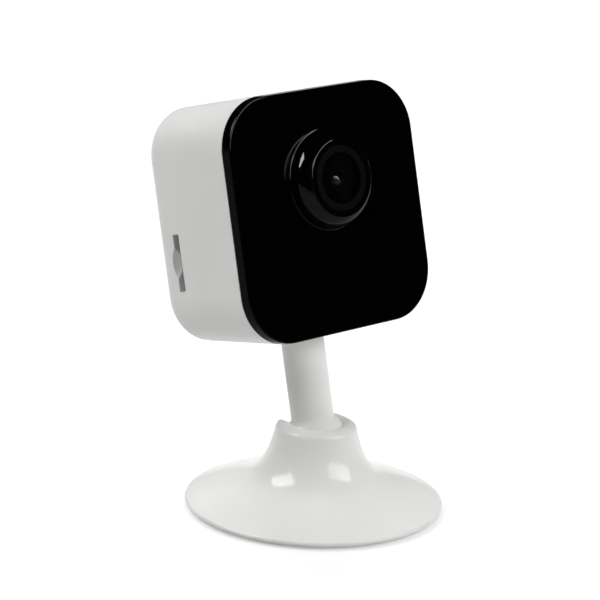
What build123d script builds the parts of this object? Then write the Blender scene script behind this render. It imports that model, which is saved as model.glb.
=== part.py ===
# Small indoor security camera: a square head on a short stem, whose ball sits in the collar of a round base.
# The head leans back by LEAN as it stands. Millimetres, +Z up, the lens looks towards -Y.
import os
from math import atan2, cos, degrees, pi, radians, sin, sqrt

from build123d import *

os.makedirs("parts", exist_ok=True)

# Pose and main distances
LEAN = 14.25  # lean of the stem from upright, towards the notch at the back
BALL_Z = 16.6  # height of the ball's centre
HEAD_RISE = 57.3  # ball centre to the middle of the head, along the stem
LENS_RISE = 7.6  # lens axis above the middle of the head

# Clearances
RUN = 0.05  # running fit of ball, stem and bores, radial
SLIP = 0.15  # plates dropped into housings, per side
FREE = 0.3  # moving pieces past fixed ones
SNUG = 0.02  # glued and threaded fits

# Base
BASE_R = 32.0
RIM_W = 3.5  # solid rim of the cover, outside the base plate
RIM_TOP = 2.15
RIM_ROUND = 0.8
RIM_SET = 0.65  # top of the rim's rounding, from the edge
ROOF_STEP_W, ROOF_STEP = 3.0, 1.0  # hollow under the neck, out from the tube and up
COVER_BOTTOM = 0.5
COVER_WALL = 1.9
NECK_WALL = 2.2
TUBE_WALL = 2.55  # wall of the guide tube under the neck
LIP_HOLD = 1.5  # how far the lip closes over the ball
LIP_RISE = 5.2  # top of the lip above the ball's centre
LIP_ROUND = 2.4  # height of the lip's rounding
LIP_CROWN = 1.5  # top of the lip, outwards from its inner edge
LIP_DROP = 0.3  # inner edge of the lip below its top
LIP_BEND = 0.71  # share of the rounding, across and up, half-way round it
NOTCH_ROUND = 0.4  # rounding of the notch's top corners
PAD_T = 0.8
PAD_INSET = 0.5
PLATE_T = 1.4
WEIGHT_INSET = 12.5
WEIGHT_T = 2.0
BASE_SCREW_INSET = 9.5
BASE_SCREW_L = 3.3
BASE_BOSS_R = 2.0
CUP_FLOOR = 2.05
CUP_DROP = 4.3  # rim of the ball cup below the ball's centre
SPRING_R = 5.2
SPRING_WIRE = 0.8
# The dome's flare: shares of its width and height, from the rim in and up to the neck
FLARE = [
    (0.91, 0.035),
    (0.63, 0.168),
    (0.354, 0.302),
    (0.25, 0.379),
    (0.178, 0.472),
    (0.122, 0.579),
    (0.08, 0.683),
    (0.044, 0.801),
    (0.016, 0.929),
]

# Stem
STEM_R = 5.34
BALL_R = 8.0
SPIGOT_R = 4.0
SHOULDER_IN = 3.0  # stem shoulder inside the head's underside
BEARING_L = 2.5
BEARING_R = 8.0
WASHER_T = 0.95
WASHER_R = 7.4
NUT_T = 3.0
NUT_R = 6.9

# Head, depths measured forward of the stem axis
HEAD_W = 59.6
HEAD_CORNER = 13.0
TAPER = 1.05  # each side of the shell, over its depth
HEAD_DEPTH = 33.1
PANEL_FRONT = 17.1
PANEL_T = 2.6
PANEL_EDGE = 0.35
PANEL_DRAFT = 4.0  # taper of the panel's side, in degrees
FRAME_T = 2.0
WALL = 2.0
BACK_ROUND = 4.0
EDGE_BREAK = 0.25

# Lens
HOOD_R = 12.5
HOOD_REACH = 5.0
HOOD_RIM_R = 9.6  # outer edge of the flat front
HOOD_BEAD = 0.3  # raised edge round the flat front
HOOD_FOOT, HOOD_FOOT_W = 0.3, 0.3  # step at the hood's foot, its rise and its width
HOOD_ROUND = 0.2  # rounding of the bead and of the foot
HOOD_SHOULDER, HOOD_FALL = 1.3, 1.2  # where the side turns in, out and back from the flat front's edge
HOOD_FLANGE = 1.5
FLANGE_T = 1.0
RING_OUT_R = 8.0
RING_IN_R = 6.15
RING_T = 0.5
RING_SET = 0.1
GLASS_T = 0.6
BARREL_R = 6.0
BARREL_HEAD_R = 6.8
BARREL_BORE_R = 4.5
BARREL_SET = 0.7  # barrel's front behind the cover glass
PUPIL_R = 1.9
FRONT_LENS_T = 2.2
FRONT_LENS_R = 2.5  # dome of the front lens
FRONT_LENS_RISE = 0.35
REAR_LENS_T = 3.2
REAR_LENS_R = 13.0
REAR_LENS_SET = 0.8
FOCUS_ROOM = 0.3  # barrel's room to be screwed in
HOLDER_W, HOLDER_H, HOLDER_T = 22.0, 13.0, 4.0
HOLDER_TUBE_R = 7.8
HOLDER_TUBE_L = 4.0

# Filter carriage
FILTER_TRAVEL = 6.0
FILTER_W, FILTER_H, FILTER_T = 12.6, 8.0, 0.9
FILTER_WINDOW = 5.2
FILTER_GLASS_T = 0.6
FILTER_BEHIND = 1.0  # filter room above the sensor
FILTER_GAP = 0.2  # carriage in its room, in front and behind
FILTER_STOP = 0.5  # room left beyond each end of its travel

# Boards
BOARD_T = 1.6
SMALL_BOARD_T = 1.2
SENSOR_POST_L = 7.5
SENSOR_BOARD_H = 14.0
SENSOR_W, SENSOR_H, SENSOR_T = 9.0, 8.0, 1.0
SENSOR_ROOM = 0.5  # round the sensor, inside the lens holder
HEADER_W, HEADER_H = 2.5, 7.0
HEADER_ASIDE = 1.55  # pin header beside the lens holder
LED_BOARD_GAP = 0.3  # light ring's board below the shell's roof
LED_INSET = 2.5  # lamps from the board's edge
LED_R = 1.4
LED_T = 1.3
MAIN_POST_L = 8.0
BOARD_SIDE_GAP = 1.75  # main board from the shell's sides
BOARD_END_GAP = 12.8  # main board from the head's top and bottom
CHIP_W, CHIP_T = 13.0, 1.2
CHIP_Y = 3.0
THERMAL_T = 0.6
SINK_W, SINK_H, SINK_T = 24.0, 20.0, 1.2
SINK_FIN = 1.2
SINK_GAP = 0.8  # fins below the sensor board
RIBBON_Y = 2.0
RIBBON_ASIDE = 1.0  # ribbon sockets from the heat sink
RIBBON_L = 17.0  # free length of the ribbon between its sockets
RIBBON_SOCKET_W, RIBBON_SOCKET_H, RIBBON_SOCKET_T = 4.0, 6.4, 1.2
RIBBON_W, RIBBON_T = 5.0, 0.2

# Openings and what stands behind them
CARD_SLOT_W = 2.3
CARD_SLOT_L = 14.05
CARD_SLOT_SET = 0.7  # slot's front edge behind the main board
CARD_Y = -8.0
CARD_SOCKET_W, CARD_SOCKET_L, CARD_SOCKET_T = 14.5, 14.8, 2.6
CARD_T, CARD_W = 1.1, 11.4
SCOOP_R = 6.4  # thumb scoop behind the card slot
SCOOP_OUT = 1.9
SCOOP_AHEAD = 4.4
USB_X, USB_Y = 0.0, -12.0
USB_W, USB_H, USB_L = 7.6, 2.8, 9.0
USB_SHEET = 0.35
USB_TONGUE_W, USB_TONGUE_T = 4.4, 0.6
USB_MOUTH = 5.0
PLUG_ROOM_W, PLUG_ROOM_H, PLUG_ROOM_T = 2.2, 2.4, 0.8  # recess for the plug round the socket
USB_GAP = 0.4
BUTTON_X, BUTTON_Y = 12.0, -12.0
BUTTON_R = 1.6
BUTTON_FLANGE = 1.0
BUTTON_TRAVEL = 0.5
SWITCH_W, SWITCH_T = 6.0, 3.2
SPEAKER_Y = 8.0
SPEAKER_R = 10.0
SPEAKER_T = 3.7
SPEAKER_MAGNET_R, SPEAKER_MAGNET_T = 6.0, 1.4
SPEAKER_WELL_T, SPEAKER_WELL_H = 1.1, 1.5  # wall round the speaker
CONTACT_W, CONTACT_H = 1.2, 2.0
CONTACT_INSET = 2.0
GASKET_T = 0.8
GASKET_W = 2.4
SOUND_HOLE_R = 0.65
AERIAL_INSET = 3.25  # aerial from the shell's side
AERIAL_W, AERIAL_H, AERIAL_T = 8.0, 12.0, 0.4
LEAD_R = 0.55
LEAD_BOW = 1.4
MIC_ASIDE = 5.2  # microphone outside the lower case screw
MIC_RISE = 9.5
MIC_R = 2.0
MIC_T = 1.3
MIC_HOLE_R = 0.4
BOOT_WALL = 0.96
BOOT_LIP = 0.3

# Fasteners
SCREW_R = 1.1
SCREW_HEAD_R = 2.1
SCREW_HEAD_T = 1.1
BASE_HEAD_T = 0.9
CASE_SCREW_L = 9.0
BOARD_SCREW_L = 5.0
SCREW_PASS = 0.15  # screw shanks and heads through plates
CASE_BOSS_R = 3.4
POST_R = 2.4
SENSOR_POST_R = 2.0
POST_INSET = 3.0  # board screws from the board's side
TOP_SCREW_INSET = 8.0
LOW_SCREW_ASIDE = 1.7  # lower case bosses beside the stem's washer
LOW_SCREW_RISE = 7.1

# Heights in the base
PLATE_TOP = PAD_T + PLATE_T
PLATE_R = BASE_R - RIM_W
SOCKET_R = BALL_R + RUN
NECK_R = SOCKET_R + NECK_WALL
TUBE_R = SOCKET_R + TUBE_WALL
LIP_IN_R = BALL_R - LIP_HOLD
CROWN_R = LIP_IN_R + LIP_CROWN
LIP_TOP = BALL_Z + LIP_RISE
NECK_TOP = LIP_TOP - LIP_ROUND
LIP_SEAT_Z = BALL_Z + sqrt(SOCKET_R**2 - LIP_IN_R**2)
SLOT_HALF = STEM_R + FREE
CUP_BOTTOM = BALL_Z - SOCKET_R - CUP_FLOOR
CUP_TOP = BALL_Z - CUP_DROP
CUP_RIM_R = sqrt(SOCKET_R**2 - CUP_DROP**2)
BASE_SCREW_R = BASE_R - BASE_SCREW_INSET
flare = [
    (NECK_R + wide * (BASE_R - NECK_R), RIM_TOP + high * (NECK_TOP - RIM_TOP)) for wide, high in FLARE
]
ROOF_R, ROOF_Z = flare[1][0], flare[1][1] - COVER_WALL  # outer edge of the hollow under the dome
ROOF_SLOPE = (flare[2][1] - flare[1][1]) / (flare[1][0] - flare[2][0])
BASE_BOSS_TOP = ROOF_Z + ROOF_SLOPE * (ROOF_R - BASE_SCREW_R + BASE_BOSS_R) + SLIP
COIL_H = CUP_BOTTOM - PLATE_TOP - SPRING_WIRE

# Heights along the stem, above the ball's centre
BALL_NECK = sqrt(BALL_R**2 - STEM_R**2)
HEAD_HALF = HEAD_W / 2
SHOULDER = HEAD_RISE - HEAD_HALF + SHOULDER_IN
BEARING_TOP = SHOULDER + BEARING_L
WASHER_TOP = BEARING_TOP + RUN + WASHER_T
NUT_TOP = WASHER_TOP + NUT_T

# Depths in the head
PANEL_BACK = PANEL_FRONT - PANEL_T
FRAME_BACK = PANEL_BACK - FRAME_T
HEAD_BACK = PANEL_FRONT - HEAD_DEPTH
BACK_WALL_IN = HEAD_BACK + WALL
HOOD_FRONT = PANEL_FRONT + HOOD_REACH
GLASS_FRONT = HOOD_FRONT - RING_SET - RING_T
GLASS_BACK = GLASS_FRONT - GLASS_T
BARREL_FRONT = GLASS_BACK - BARREL_SET
FRONT_APEX = BARREL_FRONT + FRONT_LENS_RISE
FRONT_SEAT = FRONT_APEX - FRONT_LENS_T
FRONT_EDGE_R = PUPIL_R - SNUG
FRONT_EDGE = FRONT_APEX - FRONT_LENS_R + sqrt(FRONT_LENS_R**2 - FRONT_EDGE_R**2)
SENSOR_BOARD_FRONT = FRAME_BACK - SENSOR_POST_L
SENSOR_BOARD_BACK = SENSOR_BOARD_FRONT - SMALL_BOARD_T
LED_BOARD_BACK = FRAME_BACK - SMALL_BOARD_T
FILTER_ROOM_BACK = SENSOR_BOARD_FRONT + SENSOR_T + FILTER_BEHIND
FILTER_BACK = FILTER_ROOM_BACK + FILTER_GAP
HOLDER_TOP = SENSOR_BOARD_FRONT + HOLDER_T
HOLDER_TUBE_TOP = HOLDER_TOP + HOLDER_TUBE_L
BARREL_BACK = HOLDER_TOP + FOCUS_ROOM
BARREL_STEP = HOLDER_TUBE_TOP + FOCUS_ROOM + FREE
REAR_BACK = BARREL_BACK + REAR_LENS_SET
REAR_APEX = REAR_BACK + REAR_LENS_T
REAR_EDGE_R = BARREL_BORE_R - SNUG
REAR_EDGE = REAR_APEX - REAR_LENS_R + sqrt(REAR_LENS_R**2 - REAR_EDGE_R**2)
MAIN_BOARD_BACK = BACK_WALL_IN + MAIN_POST_L
MAIN_BOARD_FRONT = MAIN_BOARD_BACK + BOARD_T
SINK_BACK = MAIN_BOARD_FRONT + CHIP_T + THERMAL_T
CARD_SLOT_FRONT = MAIN_BOARD_BACK - CARD_SLOT_SET
CARD_SLOT_MID = CARD_SLOT_FRONT - CARD_SLOT_W / 2
SCOOP_DEPTH = CARD_SLOT_FRONT - CARD_SLOT_W + SCOOP_AHEAD
SCOOP_CUT = SCOOP_DEPTH - CARD_SLOT_MID
SCOOP_HALF = sqrt(SCOOP_R**2 - SCOOP_CUT**2)
SPEAKER_BACK = BACK_WALL_IN + GASKET_T
SPEAKER_FRONT = SPEAKER_BACK + SPEAKER_T
BUTTON_TIP = MAIN_BOARD_BACK - SWITCH_T - BUTTON_TRAVEL - RUN
RIBBON_TOP = SENSOR_BOARD_BACK - RIBBON_SOCKET_T / 2
RIBBON_BOTTOM = MAIN_BOARD_FRONT + RIBBON_SOCKET_T / 2
RIBBON_BEND = (RIBBON_TOP - RIBBON_BOTTOM) / 2
RIBBON_MID = (RIBBON_TOP + RIBBON_BOTTOM) / 2
RIBBON_RUN = (RIBBON_L - pi * RIBBON_BEND) / 2
RIBBON_X = SINK_W / 2 + RIBBON_ASIDE + RIBBON_SOCKET_W / 2
RIBBON_OUT = RIBBON_X + RIBBON_SOCKET_W / 2
MIC_BACK = PANEL_BACK - BOOT_LIP - MIC_T

# Widths in the head
BACK_W = HEAD_W - 2 * TAPER
BACK_CORNER = HEAD_CORNER - TAPER
DRAFT = degrees(atan2(TAPER, HEAD_DEPTH - PANEL_T))
SIDE_IN = BACK_W / 2 - WALL  # inside of the shell at its narrow end
FRAME_W = HEAD_W - 2 * WALL - 2 * SLIP - 2 * TAPER * FRAME_T / (HEAD_DEPTH - PANEL_T)
MAIN_BOARD_W = 2 * (SIDE_IN - BOARD_SIDE_GAP)
MAIN_BOARD_H = HEAD_W - 2 * BOARD_END_GAP
LED_BOARD_R = SIDE_IN - LENS_RISE - LED_BOARD_GAP
LED_RING_R = LED_BOARD_R - LED_INSET
SENSOR_POST_X = LED_BOARD_R + SENSOR_POST_R + FREE
SENSOR_BOARD_W = 2 * (SENSOR_POST_X + POST_INSET)
AERIAL_X = SIDE_IN - AERIAL_INSET - AERIAL_W / 2
BOOT_R = MIC_R + SNUG + BOOT_WALL
CARD_SOCKET_X = CARD_SOCKET_W / 2 - SIDE_IN + FREE
PILOT_R = SCREW_R + SNUG
LOW_SCREW_X = WASHER_R + LOW_SCREW_ASIDE + CASE_BOSS_R
MIC_X = LOW_SCREW_X + MIC_ASIDE
MIC_Y = MIC_RISE - HEAD_HALF
CASE_SCREWS = [
    (HEAD_HALF - TOP_SCREW_INSET, HEAD_HALF - TOP_SCREW_INSET),
    (TOP_SCREW_INSET - HEAD_HALF, HEAD_HALF - TOP_SCREW_INSET),
    (LOW_SCREW_X, LOW_SCREW_RISE - HEAD_HALF),
    (-LOW_SCREW_X, LOW_SCREW_RISE - HEAD_HALF),
]
POST_X = MAIN_BOARD_W / 2 - POST_INSET
POST_Y = MAIN_BOARD_H / 2 - POST_INSET - SCREW_R
BOARD_POSTS = [(POST_X, POST_Y), (-POST_X, POST_Y), (POST_X, -POST_Y)]
SENSOR_POSTS = [(SENSOR_POST_X, LENS_RISE), (-SENSOR_POST_X, LENS_RISE)]

# Directions of the leaning head and the planes its pieces are drawn on
up = Vector(0, sin(radians(LEAN)), cos(radians(LEAN)))
fwd = Vector(0, -cos(radians(LEAN)), sin(radians(LEAN)))
ball_centre = Vector(0, 0, BALL_Z)
head_centre = ball_centre + up * HEAD_RISE
lens_centre = head_centre + up * LENS_RISE
button_centre = head_centre + Vector(BUTTON_X, 0, 0) + up * BUTTON_Y
mic_centre = head_centre + Vector(MIC_X, 0, 0) + up * MIC_Y
scoop_centre = head_centre - Vector(HEAD_HALF + SCOOP_OUT, 0, 0) + up * CARD_Y + fwd * SCOOP_DEPTH
STEM = Plane(origin=ball_centre, x_dir=(1, 0, 0), z_dir=up)
STEM_SIDE = Plane(origin=ball_centre, x_dir=(1, 0, 0), z_dir=fwd)
FACE = Plane(origin=head_centre, x_dir=(1, 0, 0), z_dir=fwd)
SIDE = Plane(origin=head_centre, x_dir=fwd, z_dir=(-1, 0, 0))
LENS = Plane(origin=lens_centre, x_dir=(1, 0, 0), z_dir=fwd)
LENS_SIDE = Plane(origin=lens_centre, x_dir=(1, 0, 0), z_dir=-up)
BUTTON = Plane(origin=button_centre, x_dir=(1, 0, 0), z_dir=-up)
MIC = Plane(origin=mic_centre, x_dir=(1, 0, 0), z_dir=-up)
SCOOP = Plane(origin=scoop_centre, x_dir=up, z_dir=(1, 0, 0))
RIBBON = Plane(origin=head_centre + up * RIBBON_Y, x_dir=(1, 0, 0), z_dir=-up)
AERIAL = Plane(origin=head_centre, x_dir=(1, 0, 0), z_dir=-up)
STEM_AXIS = Axis(ball_centre, up)
FACE_AXIS = Axis(head_centre, fwd)
LENS_AXIS = Axis(lens_centre, fwd)
BUTTON_AXIS = Axis(button_centre, fwd)
MIC_AXIS = Axis(mic_centre, fwd)
SCOOP_AXIS = Axis(scoop_centre, fwd)

# Base cover: a shallow dome that flares up into the collar, with the notch for the stem at the back
with BuildPart() as base_cover:
    with BuildSketch(Plane.XZ):
        with BuildLine():
            Line((PLATE_R, COVER_BOTTOM), (BASE_R - RIM_ROUND, COVER_BOTTOM))
            ThreePointArc(
                (BASE_R - RIM_ROUND, COVER_BOTTOM),
                (BASE_R, COVER_BOTTOM + RIM_ROUND),
                (BASE_R - RIM_SET, RIM_TOP),
            )
            Spline(
                (BASE_R - RIM_SET, RIM_TOP),
                *flare,
                (NECK_R, NECK_TOP),
                tangents=((-0.86, 0.5), (-0.12, 1.0)),
            )
            Spline(
                (NECK_R, NECK_TOP),
                (CROWN_R + LIP_BEND * (NECK_R - CROWN_R), NECK_TOP + LIP_BEND * LIP_ROUND),
                (CROWN_R, LIP_TOP),
                (LIP_IN_R, LIP_TOP - LIP_DROP),
                tangents=((-0.12, 1.0), (-1.0, -0.45)),
            )
            Line((LIP_IN_R, LIP_TOP - LIP_DROP), (LIP_IN_R, LIP_SEAT_Z))
            RadiusArc((LIP_IN_R, LIP_SEAT_Z), (SOCKET_R, BALL_Z), SOCKET_R)
            Polyline(
                (SOCKET_R, BALL_Z),
                (SOCKET_R, PLATE_TOP),
                (TUBE_R, PLATE_TOP),
                (TUBE_R, flare[2][1] - COVER_WALL + ROOF_STEP),
                (TUBE_R + ROOF_STEP_W, flare[2][1] - COVER_WALL + ROOF_STEP),
                (flare[2][0], flare[2][1] - COVER_WALL),
                (ROOF_R, ROOF_Z),
                (ROOF_R, PLATE_TOP),
                (PLATE_R, PLATE_TOP),
                (PLATE_R, COVER_BOTTOM),
            )
        make_face()
    revolve(axis=Axis.Z)
    with BuildSketch(Plane.XY.offset(PLATE_TOP)):
        with PolarLocations(BASE_SCREW_R, 3, start_angle=30):
            Circle(BASE_BOSS_R)
    extrude(amount=BASE_BOSS_TOP - PLATE_TOP)
    with BuildSketch(Plane.XY.offset(PLATE_TOP)):
        with PolarLocations(BASE_SCREW_R, 3, start_angle=30):
            Circle(PILOT_R)
    extrude(amount=BASE_SCREW_L - PLATE_T + 0.1, mode=Mode.SUBTRACT)
    with BuildSketch(Plane.XZ):
        with BuildLine():
            RadiusArc((-SLOT_HALF, BALL_Z), (SLOT_HALF, BALL_Z), -SLOT_HALF)
            Line((SLOT_HALF, BALL_Z), (SLOT_HALF, LIP_TOP - NOTCH_ROUND))
            RadiusArc(
                (SLOT_HALF, LIP_TOP - NOTCH_ROUND),
                (SLOT_HALF + NOTCH_ROUND, LIP_TOP),
                NOTCH_ROUND,
            )
            Polyline(
                (SLOT_HALF + NOTCH_ROUND, LIP_TOP),
                (SLOT_HALF + NOTCH_ROUND, LIP_TOP + NOTCH_ROUND),
                (-SLOT_HALF - NOTCH_ROUND, LIP_TOP + NOTCH_ROUND),
                (-SLOT_HALF - NOTCH_ROUND, LIP_TOP),
            )
            RadiusArc(
                (-SLOT_HALF - NOTCH_ROUND, LIP_TOP),
                (-SLOT_HALF, LIP_TOP - NOTCH_ROUND),
                NOTCH_ROUND,
            )
            Line((-SLOT_HALF, LIP_TOP - NOTCH_ROUND), (-SLOT_HALF, BALL_Z))
        make_face()
    extrude(amount=-BASE_R, mode=Mode.SUBTRACT)
base_cover.part.label = "base_cover"
export_step(base_cover.part, "parts/base_cover.step")

# Foot pad: the soft disc the camera stands on
with BuildPart() as foot_pad:
    with BuildSketch(Plane.XY):
        Circle(PLATE_R - PAD_INSET)
    extrude(amount=PAD_T)
foot_pad.part.label = "foot_pad"
export_step(foot_pad.part, "parts/foot_pad.step")

# Base plate: closes the base from below
with BuildPart() as base_plate:
    with BuildSketch(Plane.XY.offset(PAD_T)):
        Circle(PLATE_R - SLIP)
    extrude(amount=PLATE_T)
    with BuildSketch(Plane.XY.offset(PAD_T)):
        with PolarLocations(BASE_SCREW_R, 3, start_angle=30):
            Circle(SCREW_HEAD_R + SCREW_PASS)
    extrude(amount=BASE_HEAD_T, mode=Mode.SUBTRACT)
    with BuildSketch(Plane.XY.offset(PAD_T)):
        with PolarLocations(BASE_SCREW_R, 3, start_angle=30):
            Circle(SCREW_R + SCREW_PASS)
    extrude(amount=PLATE_T, mode=Mode.SUBTRACT)
base_plate.part.label = "base_plate"
export_step(base_plate.part, "parts/base_plate.step")

# Base screws: three, from below through the plate into the cover
with BuildPart() as base_screws:
    with BuildSketch(Plane.XY.offset(PAD_T)):
        with PolarLocations(BASE_SCREW_R, 3, start_angle=30):
            Circle(SCREW_HEAD_R)
    extrude(amount=BASE_HEAD_T)
    with BuildSketch(Plane.XY.offset(PAD_T)):
        with PolarLocations(BASE_SCREW_R, 3, start_angle=30):
            Circle(SCREW_R)
    extrude(amount=BASE_SCREW_L)
base_screws.part.label = "base_screws"
export_step(base_screws.part, "parts/base_screws.step")

# Base weight: a steel ring that keeps the camera from tipping
with BuildPart() as base_weight:
    with BuildSketch(Plane.XY.offset(PLATE_TOP)):
        Circle(BASE_R - WEIGHT_INSET)
        Circle(TUBE_R + SLIP, mode=Mode.SUBTRACT)
    extrude(amount=WEIGHT_T)
base_weight.part.label = "base_weight"
export_step(base_weight.part, "parts/base_weight.step")

# Ball cup: pressed up against the ball from below, notched like the collar
with BuildPart() as ball_cup:
    with BuildSketch(Plane.XZ):
        with BuildLine():
            Polyline(
                (0, BALL_Z - SOCKET_R),
                (0, CUP_BOTTOM),
                (BALL_R, CUP_BOTTOM),
                (BALL_R, CUP_TOP),
                (CUP_RIM_R, CUP_TOP),
            )
            RadiusArc((CUP_RIM_R, CUP_TOP), (0, BALL_Z - SOCKET_R), SOCKET_R)
        make_face()
    revolve(axis=Axis.Z)
    with BuildSketch(Plane.XZ):
        with Locations((0, BALL_Z)):
            Circle(SLOT_HALF)
    extrude(amount=-BASE_R, mode=Mode.SUBTRACT)
ball_cup.part.label = "ball_cup"
export_step(ball_cup.part, "parts/ball_cup.step")

# Cup spring: keeps the ball tight enough to hold the head
with BuildPart() as cup_spring:
    with BuildLine() as coil:
        Helix(pitch=COIL_H / 2, height=COIL_H, radius=SPRING_R, center=(0, 0, PLATE_TOP + SPRING_WIRE / 2))
    with BuildSketch(Plane(origin=coil.line @ 0, z_dir=coil.line % 0)):
        Circle(SPRING_WIRE / 2)
    sweep(path=coil.line, is_frenet=True)
cup_spring.part.label = "cup_spring"
export_step(cup_spring.part, "parts/cup_spring.step")

# Stem: one turned piece with the ball at its foot and a spigot at its head
with BuildPart() as stem:
    with BuildSketch(STEM_SIDE):
        with BuildLine():
            ThreePointArc((0, -BALL_R), (BALL_R, 0), (STEM_R, BALL_NECK))
            Polyline(
                (STEM_R, BALL_NECK),
                (STEM_R, SHOULDER),
                (SPIGOT_R, SHOULDER),
                (SPIGOT_R, NUT_TOP + 1.0),
                (0, NUT_TOP + 1.0),
                (0, -BALL_R),
            )
        make_face()
    revolve(axis=STEM_AXIS)
stem.part.label = "stem"
export_step(stem.part, "parts/stem.step")

# Stem washer and nut: hold the head down on the stem's shoulder
with BuildPart() as stem_washer:
    with BuildSketch(STEM.offset(BEARING_TOP + RUN)):
        Circle(WASHER_R)
        Circle(SPIGOT_R + SNUG, mode=Mode.SUBTRACT)
    extrude(amount=WASHER_T)
stem_washer.part.label = "stem_washer"
export_step(stem_washer.part, "parts/stem_washer.step")

with BuildPart() as stem_nut:
    with BuildSketch(STEM.offset(WASHER_TOP)):
        RegularPolygon(NUT_R, 6)
        Circle(SPIGOT_R + SNUG, mode=Mode.SUBTRACT)
    extrude(amount=NUT_T)
stem_nut.part.label = "stem_nut"
export_step(stem_nut.part, "parts/stem_nut.step")

# Rear shell: the tapered white housing with its bosses and openings
with BuildPart() as rear_shell:
    with BuildSketch(FACE.offset(PANEL_BACK)):
        RectangleRounded(HEAD_W, HEAD_W, HEAD_CORNER)
    extrude(amount=PANEL_T - HEAD_DEPTH)
    draft(rear_shell.faces().sort_by(FACE_AXIS)[1:-1], FACE.offset(PANEL_BACK), -DRAFT)
    fillet(rear_shell.edges().group_by(FACE_AXIS)[0], BACK_ROUND)
    chamfer(rear_shell.edges().group_by(FACE_AXIS)[-1], EDGE_BREAK)
    with BuildSketch(FACE.offset(PANEL_BACK)):
        RectangleRounded(HEAD_W - 2 * WALL, HEAD_W - 2 * WALL, HEAD_CORNER - WALL)
    with BuildSketch(FACE.offset(BACK_WALL_IN)):
        RectangleRounded(2 * SIDE_IN, 2 * SIDE_IN, BACK_CORNER - WALL)
    loft(mode=Mode.SUBTRACT)
    with BuildSketch(FACE.offset(BACK_WALL_IN - WALL / 4)):
        with Locations(*CASE_SCREWS):
            Circle(CASE_BOSS_R)
    extrude(amount=FRAME_BACK - BACK_WALL_IN + WALL / 4)
    with BuildSketch(FACE.offset(BACK_WALL_IN - WALL / 4)):
        with Locations(*BOARD_POSTS):
            Circle(POST_R)
    extrude(amount=MAIN_POST_L + WALL / 4)
    with BuildSketch(FACE.offset(BACK_WALL_IN - WALL / 4)):
        with Locations((0, SPEAKER_Y)):
            Circle(SPEAKER_R + SLIP + SPEAKER_WELL_T)
            Circle(SPEAKER_R + SLIP, mode=Mode.SUBTRACT)
    extrude(amount=SPEAKER_WELL_H + WALL / 4)
    with BuildSketch(STEM.offset(SHOULDER - SHOULDER_IN / 2)):
        Circle(BEARING_R)
    extrude(amount=BEARING_L + SHOULDER_IN / 2)
    with BuildSketch(STEM.offset(SHOULDER + RUN)):
        Circle(STEM_R + RUN)
    extrude(amount=-2 * SHOULDER_IN, mode=Mode.SUBTRACT)
    with BuildSketch(STEM.offset(SHOULDER)):
        Circle(SPIGOT_R + RUN)
    extrude(amount=BEARING_L + RUN, mode=Mode.SUBTRACT)
    with BuildSketch(FACE.offset(FRAME_BACK)):
        with Locations(*CASE_SCREWS):
            Circle(PILOT_R)
    extrude(amount=-CASE_SCREW_L, mode=Mode.SUBTRACT)
    with BuildSketch(FACE.offset(MAIN_BOARD_BACK)):
        with Locations(*BOARD_POSTS):
            Circle(PILOT_R)
    extrude(amount=-BOARD_SCREW_L, mode=Mode.SUBTRACT)
    with BuildSketch(SIDE.offset(SIDE_IN - WALL)):
        with Locations((CARD_SLOT_MID, CARD_Y)):
            RectangleRounded(CARD_SLOT_W, CARD_SLOT_L, 0.3)
    extrude(amount=3 * WALL + TAPER, mode=Mode.SUBTRACT)
    with BuildSketch(SCOOP):
        with BuildLine():
            Polyline((0, -SCOOP_R), (0, -SCOOP_CUT), (SCOOP_HALF, -SCOOP_CUT))
            RadiusArc((SCOOP_HALF, -SCOOP_CUT), (0, -SCOOP_R), SCOOP_R)
        make_face()
    revolve(axis=SCOOP_AXIS, mode=Mode.SUBTRACT)
    with BuildSketch(FACE.offset(HEAD_BACK)):
        with Locations((USB_X, USB_Y)):
            RectangleRounded(USB_W + 2 * PLUG_ROOM_W, USB_H + 2 * PLUG_ROOM_H, PLUG_ROOM_W)
    extrude(amount=PLUG_ROOM_T, mode=Mode.SUBTRACT)
    with BuildSketch(FACE.offset(HEAD_BACK)):
        with Locations((USB_X, USB_Y)):
            RectangleRounded(USB_W + 2 * USB_GAP, USB_H + 2 * USB_GAP, 2 * USB_GAP)
        with Locations((BUTTON_X, BUTTON_Y)):
            Circle(BUTTON_R + FREE)
        with Locations((0, SPEAKER_Y)):
            Circle(SOUND_HOLE_R)
        with Locations((0, SPEAKER_Y)):
            with PolarLocations(SPEAKER_R * 0.28, 6):
                Circle(SOUND_HOLE_R)
        with Locations((0, SPEAKER_Y)):
            with PolarLocations(SPEAKER_R * 0.56, 12):
                Circle(SOUND_HOLE_R)
    extrude(amount=WALL, mode=Mode.SUBTRACT)
rear_shell.part.label = "rear_shell"
export_step(rear_shell.part, "parts/rear_shell.step")

# Front panel: glossy black plate with a rounded front edge, holes for the lens hood and the microphone
with BuildPart() as front_panel:
    with BuildSketch(FACE.offset(PANEL_BACK)):
        RectangleRounded(HEAD_W, HEAD_W, HEAD_CORNER)
    extrude(amount=PANEL_T, taper=PANEL_DRAFT)
    fillet(front_panel.edges().group_by(FACE_AXIS)[-1], PANEL_EDGE)
    with BuildSketch(LENS.offset(PANEL_BACK)):
        Circle(HOOD_R + RUN)
    extrude(amount=PANEL_T, mode=Mode.SUBTRACT)
    with BuildSketch(LENS.offset(PANEL_BACK)):
        Circle(HOOD_R + HOOD_FLANGE + SLIP)
    extrude(amount=FLANGE_T, mode=Mode.SUBTRACT)
    with BuildSketch(FACE.offset(PANEL_BACK)):
        with Locations((MIC_X, MIC_Y)):
            Circle(MIC_HOLE_R)
    extrude(amount=PANEL_T, mode=Mode.SUBTRACT)
front_panel.part.label = "front_panel"
export_step(front_panel.part, "parts/front_panel.step")

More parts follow.
